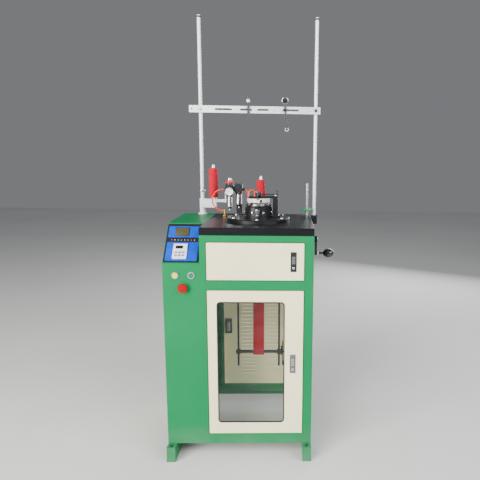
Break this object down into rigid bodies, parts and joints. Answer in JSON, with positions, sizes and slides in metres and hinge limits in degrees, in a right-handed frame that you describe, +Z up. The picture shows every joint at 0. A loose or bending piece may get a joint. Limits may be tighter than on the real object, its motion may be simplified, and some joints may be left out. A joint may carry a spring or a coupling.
{
  "type": "circular knitting machine",
  "caption": "Small-diameter circular knitting machine on a green sheet-metal cabinet with a sloped control console, louvred and glazed doors, hand crank, yarn stand and rotating take-down",
  "frame": {"origin": "on the floor, at the centre of the four foot bolt holes", "axes": "+Z up, the front with its doors faces -Y, the hand crank is on the +X side"},
  "size_m": [0.7167, 0.545, 1.906],
  "materials": {
    "green_paint": "semi-gloss enamel",
    "cream_paint": "semi-gloss enamel",
    "table_black": "gloss enamel",
    "panel_black": "smooth film",
    "keypad_white": "fine grain",
    "satin_metal": "satin",
    "yellow_plastic": "satin",
    "green_plastic": "satin",
    "red_plastic": "satin",
    "latch_black": "fine grain",
    "latch_grey": "fine grain",
    "clear_pane": "clear",
    "zinc_plate": "zinc plated",
    "drive_plastic": "fine grain",
    "head_black": "machined and blackened",
    "bearing_steel": "ground",
    "ring_white": "satin",
    "machined_steel": "turned",
    "needle_steel": "polished",
    "gear_steel": "oiled",
    "dark_steel": "satin black",
    "red_knit": "knitted",
    "cast_grey": "painted",
    "knob_black": "polished",
    "motor_black": "painted castings",
    "post_chrome": "polished",
    "post_white": "satin",
    "bar_aluminium": "satin",
    "guide_steel": "polished",
    "peg_steel": "satin",
    "red_yarn": "wound yarn",
    "air_black": "fine grain",
    "bowl_metal": "satin",
    "gauge_white": "smooth",
    "knob_red": "satin",
    "tube_orange": "translucent",
    "fitting_brass": "nickel worn"
  },
  "bodies": {
    "machine": {"front_frame": "green_paint", "left_frame": "green_paint", "right_frame": "green_paint", "rear_frame": "green_paint", "divider_wall": "green_paint", "skids": "green_paint", "console_cover": "green_paint", "motor_bracket": "green_paint", "table_top": "table_black", "control_panel": "panel_black", "keypad": "keypad_white", "button_bodies": "satin_metal", "electrics_plate": "zinc_plate", "inverter_drive": "drive_plastic", "head_base": "head_black", "cam_drum": "head_black", "main_bearing": "bearing_steel", "feeder_ring": "ring_white", "dial_bracket": "head_black", "shaft_bearings": "cast_grey", "drive_motor": "motor_black", "stand_posts": "post_chrome", "post_foot": "post_white", "post_bracket": "dark_steel", "yarn_pegs": "peg_steel", "yarn_packages": "red_yarn", "air_unit": "air_black", "air_bowls": "bowl_metal", "air_gauge": "gauge_white", "air_tubes": "tube_orange", "table_fitting": "fitting_brass"},
    "cylinder": {"needle_cylinder": "machined_steel", "needles": "needle_steel", "drive_gear": "gear_steel", "takedown_frame": "dark_steel", "knitted_tube": "red_knit"},
    "dial_body": {"dial": "machined_steel"},
    "crank": {"crank_shaft": "bearing_steel", "crank_arm": "dark_steel"},
    "crank_grip": {"crank_knob": "knob_black"},
    "motor_rotor": {"motor_pinion": "gear_steel"},
    "roller": {"takedown_roller": "dark_steel"},
    "lever": {"pawl_lever": "dark_steel"},
    "stand_bar": {"crossbar": "bar_aluminium", "crossbar_clamps": "bearing_steel", "yarn_guides": "guide_steel"},
    "regulator": {"pressure_knob": "knob_red"},
    "jog": {"jog_button": "yellow_plastic"},
    "start": {"start_button": "green_plastic"},
    "stop": {"stop_button": "red_plastic"},
    "upper_door": {"front_upper_door": "cream_paint"},
    "upper_latch": {"front_upper_latch": "latch_black"},
    "lower_door": {"front_lower_door": "cream_paint", "front_window": "clear_pane"},
    "lower_latch": {"front_lower_latch": "latch_grey"},
    "side_door": {"right_door": "cream_paint", "right_window": "clear_pane"},
    "back_door": {"rear_door": "cream_paint"},
    "console_upper_door": {"left_upper_door": "cream_paint"},
    "console_lower_door": {"left_lower_door": "cream_paint"}
  },
  "joints": [
    {"name": "cylinder_spin", "type": "hinge", "parent": "machine", "child": "cylinder", "pos_m": [0.067, 0.005, 1], "axis": [0, 0, 1], "continuous": true},
    {"name": "dial_spin", "type": "hinge", "parent": "machine", "child": "dial_body", "pos_m": [0.067, 0.005, 1.07], "axis": [0, 0, 1], "continuous": true},
    {"name": "crank_turn", "type": "hinge", "parent": "machine", "child": "crank", "pos_m": [0.3, 0.005, 0.916], "axis": [1, 0, 0], "continuous": true},
    {"name": "motor_spin", "type": "hinge", "parent": "machine", "child": "motor_rotor", "pos_m": [0.067, 0.1, 0.916], "axis": [0, 1, 0], "continuous": true},
    {"name": "crank_grip_spin", "type": "hinge", "parent": "crank", "child": "crank_grip", "pos_m": [0.35, 0.005, 0.852], "axis": [1, 0, 0], "continuous": true},
    {"name": "roller_turn", "type": "hinge", "parent": "cylinder", "child": "roller", "pos_m": [0.067, 0.005, 0.381], "axis": [1, 0, 0], "continuous": true},
    {"name": "lever_swing", "type": "hinge", "parent": "cylinder", "child": "lever", "pos_m": [0.177, 0.005, 0.381], "axis": [1, 0, 0], "range_deg": [-20, 20]},
    {"name": "bar_slide", "type": "slide", "parent": "machine", "child": "stand_bar", "axis": [0, 0, 1], "range_m": [-0.2, 0.35]},
    {"name": "pressure_turn", "type": "hinge", "parent": "machine", "child": "regulator", "pos_m": [-0.076, 0.145, 1.16], "axis": [0, 0, 1], "range_deg": [-360, 360]},
    {"name": "jog_press", "type": "slide", "parent": "machine", "child": "jog", "axis": [0, 1, 0], "range_m": [0, 0.003], "stiffness_N_per_m": 400, "springref_m": -0.001},
    {"name": "start_press", "type": "slide", "parent": "machine", "child": "start", "axis": [0, 1, 0], "range_m": [0, 0.003], "stiffness_N_per_m": 400, "springref_m": -0.001},
    {"name": "stop_press", "type": "slide", "parent": "machine", "child": "stop", "axis": [0, 1, 0], "range_m": [0, 0.003], "stiffness_N_per_m": 600, "springref_m": -0.001},
    {"name": "upper_door_open", "type": "hinge", "parent": "machine", "child": "upper_door", "pos_m": [-0.122, -0.229, 0.3], "axis": [0, 0, -1], "range_deg": [0, 100]},
    {"name": "lower_door_open", "type": "hinge", "parent": "machine", "child": "lower_door", "pos_m": [-0.122, -0.229, 0.3], "axis": [0, 0, -1], "range_deg": [0, 100]},
    {"name": "side_door_open", "type": "hinge", "parent": "machine", "child": "side_door", "pos_m": [0.299, -0.179, 0.3], "axis": [0, 0, -1], "range_deg": [0, 100]},
    {"name": "back_door_open", "type": "hinge", "parent": "machine", "child": "back_door", "pos_m": [0.259, 0.229, 0.3], "axis": [0, 0, -1], "range_deg": [0, 100]},
    {"name": "console_upper_open", "type": "hinge", "parent": "machine", "child": "console_upper_door", "pos_m": [-0.299, 0.166, 0.3], "axis": [0, 0, -1], "range_deg": [0, 100]},
    {"name": "console_lower_open", "type": "hinge", "parent": "machine", "child": "console_lower_door", "pos_m": [-0.299, 0.166, 0.3], "axis": [0, 0, -1], "range_deg": [0, 100]},
    {"name": "upper_latch_pull", "type": "hinge", "parent": "upper_door", "child": "upper_latch", "pos_m": [0.223, -0.232, 0.899], "axis": [-1, 0, 0], "range_deg": [0, 35], "stiffness_Nm_per_rad": 0.15, "springref_deg": -5.73},
    {"name": "lower_latch_pull", "type": "hinge", "parent": "lower_door", "child": "lower_latch", "pos_m": [0.223, -0.232, 0.4625], "axis": [-1, 0, 0], "range_deg": [0, 35], "stiffness_Nm_per_rad": 0.15, "springref_deg": -5.73}
  ],
  "couplings": [
    {"joint": "dial_spin", "follows": "cylinder_spin", "ratio": 1},
    {"joint": "crank_turn", "follows": "cylinder_spin", "ratio": 4},
    {"joint": "motor_spin", "follows": "cylinder_spin", "ratio": 4}
  ]
}
